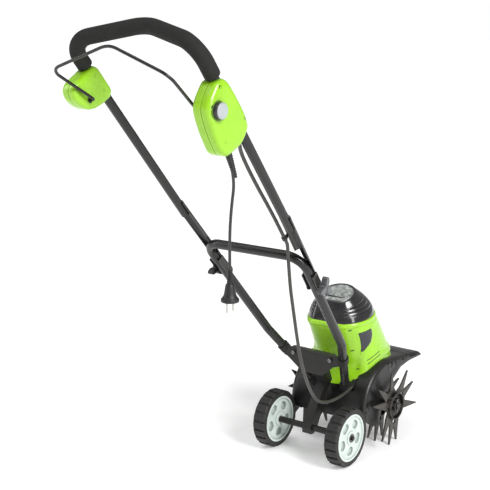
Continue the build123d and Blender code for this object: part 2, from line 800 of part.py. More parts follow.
for hand, name in ((1, "left"), (-1, "right")):
    face = 137.4 if hand == 1 else -137.4
    with BuildPart() as knob:
        base = Plane(origin=at(PIVOT[0], face, PIVOT[1]), x_dir=(1, 0, 0), z_dir=(0, hand, 0))
        with BuildSketch(base):
            Circle(7)
        extrude(amount=16)
        with BuildSketch(base.offset(4)):
            with PolarLocations(13, 3, start_angle=40 * hand):
                Ellipse(11, 6)
        extrude(amount=13)
        with BuildSketch(base):
            Circle(BOLT_R + 0.05)
        extrude(amount=12, mode=Mode.SUBTRACT)
    finish(knob, f"knob_{name}")

# ================================================================ switch box, cover and bail
BOX_EDGE = (
    (446, -12), (438, 5), (425, 12), (388, 13), (351, 12), (322, 5), (314, -15), (311, -33), (317, -56),
    (323, -74), (339, -83), (381, -77), (414, -68), (429, -60), (438, -43),
)
COVER_EDGE = (
    (454, 5), (444, 11), (435, 12), (406, 12), (386, 12), (378, 0), (382, -22), (389, -42), (400, -58),
    (418, -68), (438, -72), (454, -67), (461, -52), (456, -18),
)
SHELLS = (
    ("left_cover", 1, COVER_EDGE, 136, 153, 173),
    ("switch_box", -1, BOX_EDGE, 131, 153, 173),
)
SHELL_WALL = 2.4
for label, hand, edge, near, middle, far in SHELLS:
    for half_name, low, high in (("inner", near, middle), ("outer", middle, far)):
        start = low if hand == 1 else -high
        depth = high - low
        hollow = low + SHELL_WALL if half_name == "inner" else low
        hollow_start = hollow if hand == 1 else SHELL_WALL - high if half_name == "outer" else -high
        with BuildPart() as half:
            with BuildSketch(handle_side(start)) as face:
                with BuildLine():
                    Polyline(*edge, close=True)
                make_face()
                fillet(face.vertices(), 2.5)
            extrude(amount=depth)
            with BuildSketch(handle_side(hollow_start)) as face:
                with BuildLine():
                    Polyline(*edge, close=True)
                make_face()
                offset(amount=-SHELL_WALL)
            extrude(amount=depth - SHELL_WALL, mode=Mode.SUBTRACT)
            if half_name == "inner":
                with BuildSketch(handle_side(start if hand == 1 else -146)):
                    with Locations(BAIL_PIVOT):
                        Circle(6.5)
                extrude(amount=146 - near)
            bore = tube_point(300, hand)
            with BuildSketch(Plane(origin=bore, z_dir=tube_point(470, hand) - bore)):
                Circle(TUBE_R)
            extrude(amount=200, mode=Mode.SUBTRACT)
            with BuildSketch(handle_side(-160)):
                with Locations(BAIL_PIVOT):
                    Circle(BAIL_R + CLEAR)
            extrude(amount=320, mode=Mode.SUBTRACT)
            if label == "switch_box":
                with BuildSketch(handle_side(-180)):
                    with Locations(BUTTON):
                        Circle(BUTTON_R + 0.5)
                extrude(amount=24, mode=Mode.SUBTRACT)
                for ahead, y, radius in ((-16, -149, CABLE_R), (-57.5, LEAD_Y, 7.5)):
                    with BuildSketch(Plane(origin=on_handle(300, ahead, y), z_dir=UP_RUN)):
                        Circle(radius)
                    extrude(amount=20, mode=Mode.SUBTRACT)
        finish(half, f"{label}_{half_name}")

with BuildPart() as bail:
    with BuildLine() as bail_line:
        FilletPolyline(
            on_handle(*BAIL_PIVOT, 154), on_handle(*BAIL_PIVOT, BAIL_LEG_Y),
            on_handle(520, -78, 144), on_handle(555, -43, 0), on_handle(520, -78, -144),
            on_handle(*BAIL_PIVOT, -BAIL_LEG_Y), on_handle(*BAIL_PIVOT, -154),
            radius=(6, 22, 60, 22, 6),
        )
    with BuildSketch(start_plane(bail_line.line)):
        Circle(BAIL_R)
    sweep(path=bail_line.line)
finish(bail, "bail")

with BuildPart() as bail_spring:
    with BuildSketch(handle_side(-137)):
        with Locations(BAIL_PIVOT):
            Circle(9)
            Circle(7.2, mode=Mode.SUBTRACT)
    extrude(amount=-5)
finish(bail_spring, "bail_spring")

with BuildPart() as lock_button:
    with BuildSketch(handle_side(BUTTON_TIP)):
        with Locations(BUTTON):
            Circle(BUTTON_R)
    extrude(amount=-BUTTON_TIP - 164)
    chamfer(lock_button.faces().sort_by(Axis.Y)[0].edges(), 2)
finish(lock_button, "lock_button")

with BuildPart() as micro_switch:
    with BuildSketch(handle_side(-170)):
        with Locations((360, -48)):
            Rectangle(28, 18)
    extrude(amount=22)
finish(micro_switch, "micro_switch")

# ================================================================ cables
BOOT_START = on_handle(316, -57.5, LEAD_Y)
with BuildPart() as lead_boot:
    with BuildSketch(Plane(origin=BOOT_START, z_dir=at(-496, LEAD_Y, 758) - BOOT_START)):
        Circle(7)
        Circle(LEAD_R + 0.3, mode=Mode.SUBTRACT)
    extrude(amount=52, taper=3)
finish(lead_boot, "lead_boot")


def bends(points):
    """Bend radii of a cable through these points: long arcs that leave a short straight between."""
    radii = []
    for before, here, after in zip(points, points[1:], points[2:]):
        arriving = here - before
        leaving = after - here
        half_turn = radians(arriving.get_angle(leaving)) / 2
        radii.append(0.45 * min(arriving.length, leaving.length) * cos(half_turn) / sin(half_turn))
    print("bend radii", [round(radius) for radius in radii])
    return radii


LEAD_ROUTE = (
    on_handle(318, -57, LEAD_Y), at(-496, LEAD_Y, 758), at(-507, LEAD_Y + 1, 700),
    at(-514, LEAD_Y, 642), at(-514, LEAD_Y - 1, 578),
)
with BuildPart() as plug_lead:
    with BuildLine() as lead_line:
        FilletPolyline(*LEAD_ROUTE, radius=bends(LEAD_ROUTE))
    with BuildSketch(start_plane(lead_line.line)):
        Circle(LEAD_R)
    sweep(path=lead_line.line)
finish(plug_lead, "plug_lead")

PLUG = (-514, LEAD_Y - 1)
with BuildPart() as plug_body:
    for low, high, radius in ((564, 586, 5.5), (546, 566, 9.5)):
        with BuildSketch(Plane(origin=at(*PLUG, low))):
            Circle(radius)
        extrude(amount=high - low)
    with BuildSketch(Plane(origin=at(*PLUG, 524))):
        Circle(17.5)
    extrude(amount=22, taper=18)
    with BuildSketch(Plane(origin=at(*PLUG, 577))):
        Circle(LEAD_R)
    extrude(amount=20, mode=Mode.SUBTRACT)
    with BuildSketch(Plane(origin=at(*PLUG, 524))):
        with Locations((-9.5, 0), (9.5, 0)):
            Circle(2)
    extrude(amount=10, mode=Mode.SUBTRACT)
finish(plug_body, "plug_body")

with BuildPart() as plug_pins:
    with BuildSketch(Plane(origin=at(*PLUG, 505))):
        with Locations((-9.5, 0), (9.5, 0)):
            Circle(2.4)
    extrude(amount=19)
    with BuildSketch(Plane(origin=at(*PLUG, 524))):
        with Locations((-9.5, 0), (9.5, 0)):
            Circle(2)
    extrude(amount=10)
finish(plug_pins, "plug_pins")

CLIP_RUN = 5
CLIP_POINT = on_handle(CLIP_RUN, -10.5, -121.1)
UPPER_ROUTE = (
    on_handle(322, -16, -149), on_handle(300, -16, -149), on_handle(262, -11, -131),
    on_handle(180, -11.5, -126.5), on_handle(92, -9.5, -124.5), CLIP_POINT,
)
with BuildPart() as motor_cable_upper:
    with BuildLine() as cable_line:
        FilletPolyline(*UPPER_ROUTE, radius=bends(UPPER_ROUTE))
    with BuildSketch(start_plane(cable_line.line)):
        Circle(CABLE_R)
    sweep(path=cable_line.line)
finish(motor_cable_upper, "motor_cable_upper")

CABLE_FALL = (CLIP_POINT - UPPER_ROUTE[-2]).normalized()
LOWER_ROUTE = (
    CLIP_POINT, CLIP_POINT + CABLE_FALL * 13, at(-272, -120, 564), at(-266, -119, 531), at(-259, -118, 490), at(-243, -115, 439),
    at(-225, -112, 379), at(-206, -108, 329), at(-184, -103, 286), at(-150, -94, 239),
    at(-117, -86, 204), at(-87, -80, 180), at(-51, -76, 165), at(-11, -73, 158), at(24, -72, 157),
    at(58, -70, 160), at(92, -64, 161), at(112, -57, 167), at(130, -48, 175),
)
with BuildPart() as motor_cable_lower:
    with BuildLine() as cable_line:
        FilletPolyline(*LOWER_ROUTE, radius=bends(LOWER_ROUTE))
    with BuildSketch(start_plane(cable_line.line)):
        Circle(CABLE_R)
    sweep(path=cable_line.line)
finish(motor_cable_lower, "motor_cable_lower")

with BuildPart() as cable_clip:
    with BuildSketch(Plane(origin=CLIP_POINT - CABLE_FALL * 11, x_dir=AHEAD, z_dir=CABLE_FALL)):
        Circle(CABLE_R + 2.2)
        with BuildLine():
            Polyline((3, 0), (10, 0.8), (10, 3), (3, 4.8), close=True)
        make_face()
        Circle(CABLE_R, mode=Mode.SUBTRACT)
    extrude(amount=8)
finish(cable_clip, "cable_clip")
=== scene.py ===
import json
import math

import bmesh
import bpy
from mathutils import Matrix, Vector
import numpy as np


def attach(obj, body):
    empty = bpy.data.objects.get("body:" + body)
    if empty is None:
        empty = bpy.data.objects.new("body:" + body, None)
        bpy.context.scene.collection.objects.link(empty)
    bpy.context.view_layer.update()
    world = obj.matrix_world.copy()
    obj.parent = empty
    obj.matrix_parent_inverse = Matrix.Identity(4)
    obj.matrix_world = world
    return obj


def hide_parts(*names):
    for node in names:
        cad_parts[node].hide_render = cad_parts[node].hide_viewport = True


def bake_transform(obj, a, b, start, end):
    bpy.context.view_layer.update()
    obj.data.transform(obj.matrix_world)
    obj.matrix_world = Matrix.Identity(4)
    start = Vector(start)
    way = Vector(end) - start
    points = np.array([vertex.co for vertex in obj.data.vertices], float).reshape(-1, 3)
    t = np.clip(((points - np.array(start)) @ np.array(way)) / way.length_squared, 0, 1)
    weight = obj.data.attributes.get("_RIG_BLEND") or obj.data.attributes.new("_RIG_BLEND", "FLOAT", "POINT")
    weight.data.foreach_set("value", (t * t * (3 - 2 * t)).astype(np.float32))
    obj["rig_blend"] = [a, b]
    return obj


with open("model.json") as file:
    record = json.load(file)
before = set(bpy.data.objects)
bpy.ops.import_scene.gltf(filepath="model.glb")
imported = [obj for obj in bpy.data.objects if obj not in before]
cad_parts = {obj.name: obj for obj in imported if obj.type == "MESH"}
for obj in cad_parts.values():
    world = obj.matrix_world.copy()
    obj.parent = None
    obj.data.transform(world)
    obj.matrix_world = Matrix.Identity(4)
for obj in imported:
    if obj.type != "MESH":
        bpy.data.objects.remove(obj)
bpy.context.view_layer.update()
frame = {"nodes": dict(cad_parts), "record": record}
nodes = frame["nodes"]
S = 0.001  # metres in a millimetre
AXLE_X = 153.0  # the wheel axle, ahead of the frame's origin
HOOD_X, HOOD_Z = 188, 97  # the tine shaft, on which the hood's round part is centred
HOOD_RADIUS = 111
SHELF_X, SHELF_Z, SHELF_SLOPE = 203.4, 206.9, 0.1408  # where the hood's flat front starts

# The upper handle leans back by LEAN and the motor by TIP; each has its own up and ahead.
LEAN = math.radians(39.75)
UP = Vector((-math.sin(LEAN), 0, math.cos(LEAN)))
AHEAD = Vector((math.cos(LEAN), 0, math.sin(LEAN)))
TIP = math.radians(20.5)
MOTOR_UP = Vector((-math.sin(TIP), 0, math.cos(TIP)))
MOTOR_AHEAD = Vector((math.cos(TIP), 0, math.sin(TIP)))


def at(x, y, z):
    """A point from millimetres ahead of the axle, to the left and up."""
    return Vector(((AXLE_X + x) * S, y * S, z * S))


def on_handle(run, ahead, y):
    """A point from its run up the upper handle and its distance ahead of the tube."""
    return at(-271.3, y, 600) + (UP * run + AHEAD * ahead) * S


def on_motor(ahead, y, height):
    """A point from its distance ahead of the motor's axis and its height along it."""
    return at(HOOD_X, y, HOOD_Z) + (MOTOR_AHEAD * (27.2 + ahead) + MOTOR_UP * height) * S


# ---------------------------------------------------------------- materials
def graph(name):
    """A new material with its node tree and shader."""
    material = bpy.data.materials.new(name)
    material.use_nodes = True
    tree = material.node_tree
    shader = tree.nodes["Principled BSDF"]
    return material, tree, shader


def add(tree, kind, **settings):
    """A new node; each setting is an input's value or else a property."""
    node = tree.nodes.new(kind)
    for key, value in settings.items():
        if key in node.inputs:
            node.inputs[key].default_value = value
        else:
            setattr(node, key, value)
    return node


def ramp(tree, source, stops):
    """A colour ramp over a source, from (place, colour) stops."""
    node = tree.nodes.new("ShaderNodeValToRGB")
    elements = node.color_ramp.elements
    while len(elements) < len(stops):
        elements.new(0.5)
    for element, (place, colour) in zip(elements, stops):
        element.position = place
        element.color = (*colour, 1) if len(colour) == 3 else colour
    tree.links.new(source, node.inputs["Fac"])
    return node.outputs["Color"]


def grey(value):
    return (value, value, value)


def surface(
    name, base, dark, rough=(0.35, 0.5), grain=900.0, blotch=25.0, bump=0.05, metallic=0.0,
    coat=0.0, coat_rough=0.1, edge=None, specular=0.5,
):
    """Painted, moulded or metal surface: blotchy colour, fine grain in the bump, lighter colour on sharp
    convex edges.
    """
    material, tree, shader = graph(name)
    place = add(tree, "ShaderNodeTexCoord")
    large = add(tree, "ShaderNodeTexNoise", Scale=blotch, Detail=4.0, Roughness=0.6)
    fine = add(tree, "ShaderNodeTexNoise", Scale=grain, Detail=3.0, Roughness=0.7)
    for texture in (large, fine):
        tree.links.new(place.outputs["Object"], texture.inputs["Vector"])
    colour = ramp(tree, large.outputs["Fac"], ((0.3, dark), (0.7, base)))
    if edge:
        # Sharp convex edges, found by pointiness, take the lighter edge colour.
        shape = add(tree, "ShaderNodeNewGeometry")
        convex_edge_mask = ramp(tree, shape.outputs["Pointiness"], ((0.52, grey(0)), (0.6, grey(1))))
        mix = add(tree, "ShaderNodeMix", data_type="RGBA")
        tree.links.new(convex_edge_mask, mix.inputs["Factor"])
        tree.links.new(colour, mix.inputs[6])
        mix.inputs[7].default_value = (*edge, 1)
        colour = mix.outputs[2]
    tree.links.new(colour, shader.inputs["Base Color"])
    tree.links.new(
        ramp(tree, large.outputs["Fac"], ((0.3, grey(rough[0])), (0.7, grey(rough[1])))),
        shader.inputs["Roughness"],
    )
    relief = add(tree, "ShaderNodeBump", Strength=bump, Distance=0.0004)
    tree.links.new(fine.outputs["Fac"], relief.inputs["Height"])
    tree.links.new(relief.outputs["Normal"], shader.inputs["Normal"])
    shader.inputs["Metallic"].default_value = metallic
    shader.inputs["Coat Weight"].default_value = coat
    shader.inputs["Coat Roughness"].default_value = coat_rough
    shader.inputs["Specular IOR Level"].default_value = specular
    return material


M = {
    "tube": surface("powder_coat_charcoal", (0.010, 0.0092, 0.0088), (0.007, 0.0065, 0.0062),
                    rough=(0.2, 0.3), grain=1400, bump=0.1, edge=(0.05, 0.047, 0.045)),
    "black": surface("black_enamel", (0.010, 0.0095, 0.009), (0.006, 0.006, 0.006),
                     rough=(0.3, 0.42), grain=800, bump=0.15, edge=(0.035, 0.033, 0.03),
                     specular=0.3),
    "tine": surface("tine_steel_black", (0.016, 0.0145, 0.013), (0.008, 0.0075, 0.007),
                    rough=(0.38, 0.55), grain=500, blotch=60, bump=0.3, metallic=0.2,
                    edge=(0.06, 0.054, 0.048), specular=0.35),
    "hood": surface("hood_grey_paint", (0.012, 0.0115, 0.011), (0.008, 0.0077, 0.0074),
                    rough=(0.3, 0.4), grain=1100, bump=0.1, edge=(0.035, 0.034, 0.032),
                    specular=0.4),
    "zinc": surface("zinc_plate", (0.2, 0.2, 0.2), (0.12, 0.12, 0.12), rough=(0.25, 0.4),
                    grain=600, blotch=120, bump=0.1, metallic=1.0),
    "alloy": surface("die_cast_alloy", (0.04, 0.04, 0.04), (0.025, 0.025, 0.025),
                     rough=(0.45, 0.6), grain=700, bump=0.3, metallic=0.7),
    "steel": surface("machined_steel", (0.5, 0.5, 0.5), (0.4, 0.4, 0.41), rough=(0.2, 0.35),
                     grain=900, bump=0.1, metallic=1.0),
    "lime": surface("lime_moulding", (0.315, 0.635, 0.014), (0.285, 0.585, 0.012),
                    rough=(0.24, 0.32), grain=1600, bump=0.04, coat=0.35, coat_rough=0.12,
                    edge=(0.45, 0.8, 0.05)),
    # A darker copy of the lime: painted shade for the sunken collar round the lock button.
    "lime_painted_shade": surface("lime_collar_shade", (0.10, 0.22, 0.01), (0.08, 0.18, 0.01), rough=(0.4, 0.5)),
    "cap": surface("cap_gloss_grey", (0.022, 0.022, 0.024), (0.014, 0.014, 0.015),
                   rough=(0.16, 0.24), grain=1500, bump=0.03, coat=0.5, coat_rough=0.06),
    "foam": surface("foam_sleeve", (0.024, 0.024, 0.023), (0.016, 0.016, 0.0155), rough=(0.75, 0.9),
                    grain=1100, blotch=60, bump=0.9, specular=0.25),
    "rubber": surface("cable_rubber", (0.014, 0.014, 0.014), (0.009, 0.009, 0.009),
                      rough=(0.4, 0.55), grain=900, bump=0.15),
    "lead": surface("lead_sheath", (0.035, 0.034, 0.034), (0.024, 0.023, 0.023), rough=(0.35, 0.5),
                    grain=700, bump=0.1),
    "cable": surface("cable_sheath", (0.05, 0.046, 0.042), (0.035, 0.032, 0.029), rough=(0.35, 0.5),
                     grain=700, bump=0.1),
    "tyre": surface("tyre_rubber", (0.017, 0.0165, 0.016), (0.009, 0.009, 0.009),
                    rough=(0.55, 0.75), grain=500, blotch=70, bump=0.4, edge=(0.045, 0.044, 0.042)),
    "rim": surface("rim_moulding", (0.60, 0.67, 0.63), (0.53, 0.60, 0.57), rough=(0.4, 0.55),
                   grain=900, blotch=18, bump=0.08, edge=(0.75, 0.8, 0.77)),
    "knob": surface("knob_black", (0.02, 0.02, 0.021), (0.012, 0.012, 0.012), rough=(0.25, 0.4),
                    grain=900, bump=0.1, edge=(0.12, 0.12, 0.12)),
    "button": surface("button_grey", (0.42, 0.45, 0.46), (0.36, 0.39, 0.4), rough=(0.3, 0.4),
                      grain=900, bump=0.08),
    "switch": surface("switch_body", (0.03, 0.03, 0.035), (0.02, 0.02, 0.024), rough=(0.4, 0.5)),
    "copper": surface("enamelled_copper", (0.5, 0.2, 0.07), (0.35, 0.13, 0.05),
                      rough=(0.3, 0.4), grain=1200, bump=0.6, metallic=0.9),
    "nickel": surface("plug_nickel", (0.6, 0.6, 0.58), (0.5, 0.5, 0.48), rough=(0.2, 0.3),
                     metallic=1.0),
    "lamination": surface("lamination_steel", (0.25, 0.25, 0.26), (0.17, 0.17, 0.18),
                          rough=(0.35, 0.5), grain=900, bump=0.3, metallic=0.9),
    "fan": surface("fan_moulding", (0.5, 0.5, 0.47), (0.42, 0.42, 0.4), rough=(0.4, 0.5)),
    "badge": surface("badge_dark", (0.012, 0.014, 0.022), (0.008, 0.009, 0.014),
                     rough=(0.15, 0.2), coat=0.4),
    "slot": surface("slot_shadow", (0.012, 0.02, 0.004), (0.008, 0.012, 0.003), rough=(0.6, 0.7)),
}


def mottled_plate():
    """Pale translucent-looking top plate with a fine mottled pattern."""
    material, tree, shader = graph("mottled_plate")
    place = add(tree, "ShaderNodeTexCoord")
    cells = add(tree, "ShaderNodeTexVoronoi", Scale=330.0)
    cloud = add(tree, "ShaderNodeTexNoise", Scale=90.0, Detail=5.0)
    tree.links.new(place.outputs["Object"], cells.inputs["Vector"])
    tree.links.new(place.outputs["Object"], cloud.inputs["Vector"])
    mix = add(tree, "ShaderNodeMix", data_type="RGBA", blend_type="MULTIPLY")
    mix.inputs[0].default_value = 0.8
    tree.links.new(ramp(tree, cells.outputs["Distance"], ((0.1, grey(0.12)), (0.6, grey(1)))),
                   mix.inputs[6])
    tree.links.new(
        ramp(tree, cloud.outputs["Fac"], ((0.38, (0.03, 0.035, 0.03)), (0.66, (0.42, 0.47, 0.43)))),
        mix.inputs[7])
    tree.links.new(mix.outputs[2], shader.inputs["Base Color"])
    relief = add(tree, "ShaderNodeBump", Strength=0.6, Distance=0.0006)
    tree.links.new(cells.outputs["Distance"], relief.inputs["Height"])
    tree.links.new(relief.outputs["Normal"], shader.inputs["Normal"])
    shader.inputs["Roughness"].default_value = 0.3
    return material


M["mottled"] = mottled_plate()
M["knob_grey"] = surface("knob_grey", (0.10, 0.105, 0.11), (0.07, 0.073, 0.076), rough=(0.25, 0.4),
                         grain=900, bump=0.1, edge=(0.2, 0.2, 0.2))


def painted_cavity_shade(material, depth, shade):
    """Painted shade: darkens the base colour in the recesses of a moulding, where shadow falls."""
    tree = material.node_tree
    shader = tree.nodes["Principled BSDF"]
    source = shader.inputs["Base Color"].links[0].from_socket
    hollow = add(tree, "ShaderNodeAmbientOcclusion", samples=8, Distance=depth)
    mix = add(tree, "ShaderNodeMix", data_type="RGBA", blend_type="MULTIPLY")
    mix.inputs[0].default_value = 1.0
    tree.links.new(source, mix.inputs[6])
    tree.links.new(ramp(tree, hollow.outputs["AO"], ((0.35, shade), (0.9, grey(1)))),
                   mix.inputs[7])
    tree.links.new(mix.outputs[2], shader.inputs["Base Color"])


# Painted shade in the hollows of the rims, the cap and the lime mouldings.
painted_cavity_shade(M["rim"], 0.012, (0.32, 0.36, 0.34))
painted_cavity_shade(M["cap"], 0.008, (0.25, 0.25, 0.25))
painted_cavity_shade(M["lime"], 0.012, (0.45, 0.5, 0.4))

FINISH = {
    "charcoal_tube": "tube", "black_steel": "black", "hood_grey": "hood", "zinc": "zinc",
    "alloy": "alloy", "gear_steel": "steel", "lime": "lime", "cap_dark": "cap", "foam": "foam",
    "rubber": "rubber", "tyre": "tyre", "rim": "rim", "knob": "knob", "button": "button",
    "switch": "switch", "copper": "copper", "pins": "nickel", "laminations": "lamination",
    "fan": "fan", "grille": "mottled",
}
SLOT_OF = {part["node"]: part["material_slot"] for part in frame["record"]["subparts"]}
BODY_OF = {n: body for body, names in frame["record"]["behaviour"]["bodies"].items() for n in names}
# The stars share a slot with other steel parts and have a rougher finish.
SPECIAL = {name: "tine" for name in nodes if name.startswith("star_")}
for name, node in nodes.items():
    material = M[SPECIAL.get(name, FINISH[SLOT_OF[name]])]
    node.data.materials.clear()
    node.data.materials.append(material)


# ---------------------------------------------------------------- mesh helpers
def put(name, data):
    """A new object in the scene."""
    item = bpy.data.objects.new(name, data)
    bpy.context.scene.collection.objects.link(item)
    return item


def shade_smooth(mesh):
    for polygon in mesh.polygons:
        polygon.use_smooth = True


def link(name, mesh, material, body=None, smooth=40):
    """A piece from a mesh; edges sharper than smooth degrees stay sharp, and 0 leaves it flat."""
    piece = put(name, mesh)
    piece.data.materials.append(M[material])
    if smooth:
        shade_smooth(mesh)
        mesh.set_sharp_from_angle(angle=math.radians(smooth))
    if body:
        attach(piece, body)
    return piece


def settle(piece):
    """Applies a piece's modifiers to its mesh."""
    graph_now = bpy.context.evaluated_depsgraph_get()
    mesh = bpy.data.meshes.new_from_object(piece.evaluated_get(graph_now))
    old = piece.data
    piece.modifiers.clear()
    piece.data = mesh
    bpy.data.meshes.remove(old)
    return piece


def bevel(piece, width, angle):
    """Rounds the edges of a piece that turn by more than an angle in degrees."""
    modifier = piece.modifiers.new("bevel", "BEVEL")
    modifier.width = width
    modifier.segments = 2
    modifier.limit_method = "ANGLE"
    modifier.angle_limit = math.radians(angle)
    return modifier


def softened(name, width, material=None):
    """A copy of a CAD node with rounded edges that stands for it."""
    source = nodes[name]
    mesh = source.data.copy()
    bm = bmesh.new()
    bm.from_mesh(mesh)
    bmesh.ops.remove_doubles(bm, verts=bm.verts, dist=1e-6)
    bmesh.ops.dissolve_limit(bm, angle_limit=math.radians(1), verts=bm.verts, edges=bm.edges)
    bm.to_mesh(mesh)
    bm.free()
    for attribute in list(mesh.attributes):
        if attribute.name == "custom_normal":
            mesh.attributes.remove(attribute)
    piece = put(name + "_shown", mesh)
    if material:
        mesh.materials.clear()
        mesh.materials.append(M[material])
    shade_smooth(mesh)
    bevel(piece, width, 30).harden_normals = True
    settle(piece)
    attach(piece, BODY_OF[name])
    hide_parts(name)
    return piece


def loft(name, rings, material, body, caps=True, smooth=50):
    """A skin through rings of points; each ring is a closed loop with the same count."""
    mesh = bpy.data.meshes.new(name)
    count = len(rings[0])
    verts = [tuple(p) for ring in rings for p in ring]
    faces = []
    for r in range(len(rings) - 1):
        for i in range(count):
            j = (i + 1) % count
            faces.append((r * count + i, r * count + j, (r + 1) * count + j, (r + 1) * count + i))
    if caps:
        faces.append(tuple(reversed(range(count))))
        faces.append(tuple((len(rings) - 1) * count + i for i in range(count)))
    mesh.from_pydata(verts, [], faces)
    bm = bmesh.new()
    bm.from_mesh(mesh)
    bmesh.ops.recalc_face_normals(bm, faces=bm.faces)
    bm.to_mesh(mesh)
    bm.free()
    return link(name, mesh, material, body, smooth)


def turned(name, base, axis, profile, material, body, sides=48, caps=False):
    """A turned piece: profile is (distance along axis, radius) in millimetres."""
    axis = Vector(axis).normalized()
    one = axis.orthogonal().normalized()
    two = axis.cross(one)
    rings = []
    for along, radius in profile:
        ring = []
        for i in range(sides):
            turn = 2 * math.pi * i / sides
            outward = one * math.cos(turn) + two * math.sin(turn)
            ring.append(base + (axis * along + outward * radius) * S)
        rings.append(ring)
    return loft(name, rings, material, body, caps=caps, smooth=40)


def weave(bm, grid, wanted=None):
    """Joins a grid of vertices with quads, except where wanted(row, column) is false."""
    for r in range(len(grid) - 1):
        for c in range(len(grid[0]) - 1):
            if wanted is None or wanted(r, c):
                bm.faces.new((grid[r][c], grid[r][c + 1], grid[r + 1][c + 1], grid[r + 1][c]))


def wire(name, points, radius, material, body=None):
    """A smooth NURBS line with a round section."""
    curve = bpy.data.curves.new(name, "CURVE")
    curve.dimensions = "3D"
    curve.bevel_depth = radius * S
    curve.bevel_resolution = 6
    curve.use_fill_caps = True
    curve.resolution_u = 12
    spline = curve.splines.new("NURBS")
    spline.points.add(len(points) - 1)
    for point, place in zip(spline.points, points):
        point.co = (*place, 1)
    spline.order_u = 3
    spline.use_endpoint_u = True
    piece = put(name, curve)
    curve.materials.append(M[material])
    if body:
        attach(piece, body)
    return piece


# ---------------------------------------------------------------- cords
LEAD_Y = -155
lead_route = [
    on_handle(318, -57, LEAD_Y), at(-496, LEAD_Y, 758), at(-507, LEAD_Y + 1, 700),
    at(-514, LEAD_Y, 642), at(-514, LEAD_Y - 1, 578),
]
plug_lead = wire("mains_lead", lead_route, 2.9, "lead", "handle")
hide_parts("plug_lead")

CLIP = on_handle(5, -10.5, -121.1)
upper_points = [
    on_handle(322, -16, -149), on_handle(300, -16, -149), on_handle(262, -11, -131),
    on_handle(180, -11.5, -126.5), on_handle(92, -9.5, -124.5), CLIP,
]
FALL = (CLIP - upper_points[-2]).normalized()
lower_points = [
    CLIP + FALL * 0.013, at(-272, -120, 564), at(-266, -119, 531), at(-259, -118, 490),
    at(-243, -115, 439), at(-225, -112, 379), at(-206, -108, 329), at(-184, -103, 286),
    at(-150, -94, 239), at(-117, -86, 204), at(-87, -80, 180), at(-51, -76, 165),
    at(-11, -73, 158), at(24, -72, 157), at(58, -70, 160), at(92, -64, 161), at(112, -57, 167),
    at(130, -48, 175),
]
cable = wire("motor_cable", upper_points + lower_points, 3.7, "cable")
cable_mesh = bpy.data.meshes.new_from_object(cable)
bpy.data.objects.remove(cable)
motor_cable = link("motor_cable_whole", cable_mesh, "cable", None, 60)
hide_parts("motor_cable_upper", "motor_cable_lower")
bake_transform(motor_cable, "handle", "chassis", start=tuple(CLIP), end=tuple(at(-150, -94, 239)))

# ---------------------------------------------------------------- CAD nodes with rounded edges
for name, width in (
    ("lower_handle", 0.0004), ("upper_handle", 0.0008), ("leg_collars", 0.0006),
    ("handle_bracket", 0.0016), ("bracket_bolts", 0.0008), ("wheel_arm", 0.0015),
    ("star_left_outer", 0.0007), ("star_left_inner", 0.0007), ("star_right_outer", 0.0007),
    ("star_right_inner", 0.0007), ("tyre_left", 0.0016), ("tyre_right", 0.0016),
    ("rim_left", 0.0013), ("rim_right", 0.0013), ("gearbox_left", 0.001),
    ("gearbox_right", 0.001), ("fold_bolts", 0.0004), ("axle_clips", 0.0004),
    ("hitch_pins", 0.0004), ("cable_clip", 0.0006), ("knob_left", 0.0022),
    ("lock_button", 0.0016), ("bail", 0.0002), ("axle", 0.0005), ("axle_spacers", 0.0005),
    ("grip_foam", 0.003), ("plug_pins", 0.0008),
):
    softened(name, width, material=SPECIAL.get(name))
softened("knob_right", 0.0022, material="knob_grey")


# ---------------------------------------------------------------- motor cover and cap
# Sections of the housing: height, back, half width of the flat back, and front.
SECTIONS = (
    (40, -61, 34, 119), (95, -61.5, 35, 113), (160, -63, 39, 99), (235, -67, 45, 82),
    (292, -29, 37, 47),
)
SHOULDER, DOME = 235, 57  # height where the cap starts to close in, and how much is above it
SEAM_BACK = (62, 318)  # ahead of the axle and up, on the line between cover and cap
SEAM_FRONT = (187, 331)
COLUMNS = 144
RINGS = 70
CAP_RINGS = 60


def turn_at(index):
    """Turn of a column about the motor, from the back and round to it again."""
    return -math.pi + 2 * math.pi * index / COLUMNS


def shelf(x):
    """Height of the hood's flat front."""
    return SHELF_Z - (x - SHELF_X) * SHELF_SLOPE


def blend_value(places, values, x):
    """Straight-line value at x between the given places."""
    if x <= places[0]:
        return values[0]
    for k in range(1, len(places)):
        if x <= places[k]:
            share = (x - places[k - 1]) / (places[k] - places[k - 1])
            return values[k - 1] + share * (values[k] - values[k - 1])
    return values[-1]


def section(height):
    """Back, half width of the flat back and front of the motor housing at a height."""
    if height > SHOULDER:
        height = SHOULDER + DOME * ((height - SHOULDER) / DOME) ** 1.45
    places = [row[0] for row in SECTIONS]
    return tuple(blend_value(places, [row[k] for row in SECTIONS], height) for k in (1, 2, 3))


def round_part(height):
    """Centre ahead and radius of the round part of the section."""
    back, half, front = section(height)
    centre = (front * front - back * back - half * half) / (2 * (front - back))
    return centre, front - centre


def outline(height, inset=0.0):
    """Closed section of the housing: round with a flat back and soft corners between them."""
    back, half, front = section(height)
    centre, radius = round_part(height)
    limit = math.pi - math.asin(half / radius)
    points = []
    for i in range(COLUMNS):
        turn = turn_at(i)
        if abs(turn) <= limit:
            points.append((centre + radius * math.cos(turn), radius * math.sin(turn)))
        else:
            points.append((back, (back - centre) * math.tan(turn)))
    for _ in range(5):
        points = [
            ((points[i - 1][0] + 2 * points[i][0] + points[(i + 1) % COLUMNS][0]) / 4,
             (points[i - 1][1] + 2 * points[i][1] + points[(i + 1) % COLUMNS][1]) / 4)
            for i in range(COLUMNS)
        ]
    if inset:
        moved = []
        for i in range(COLUMNS):
            before, after = points[i - 1], points[(i + 1) % COLUMNS]
            along = Vector((after[0] - before[0], after[1] - before[1])).normalized()
            moved.append((points[i][0] - along.y * inset, points[i][1] + along.x * inset))
        points = moved
    return points


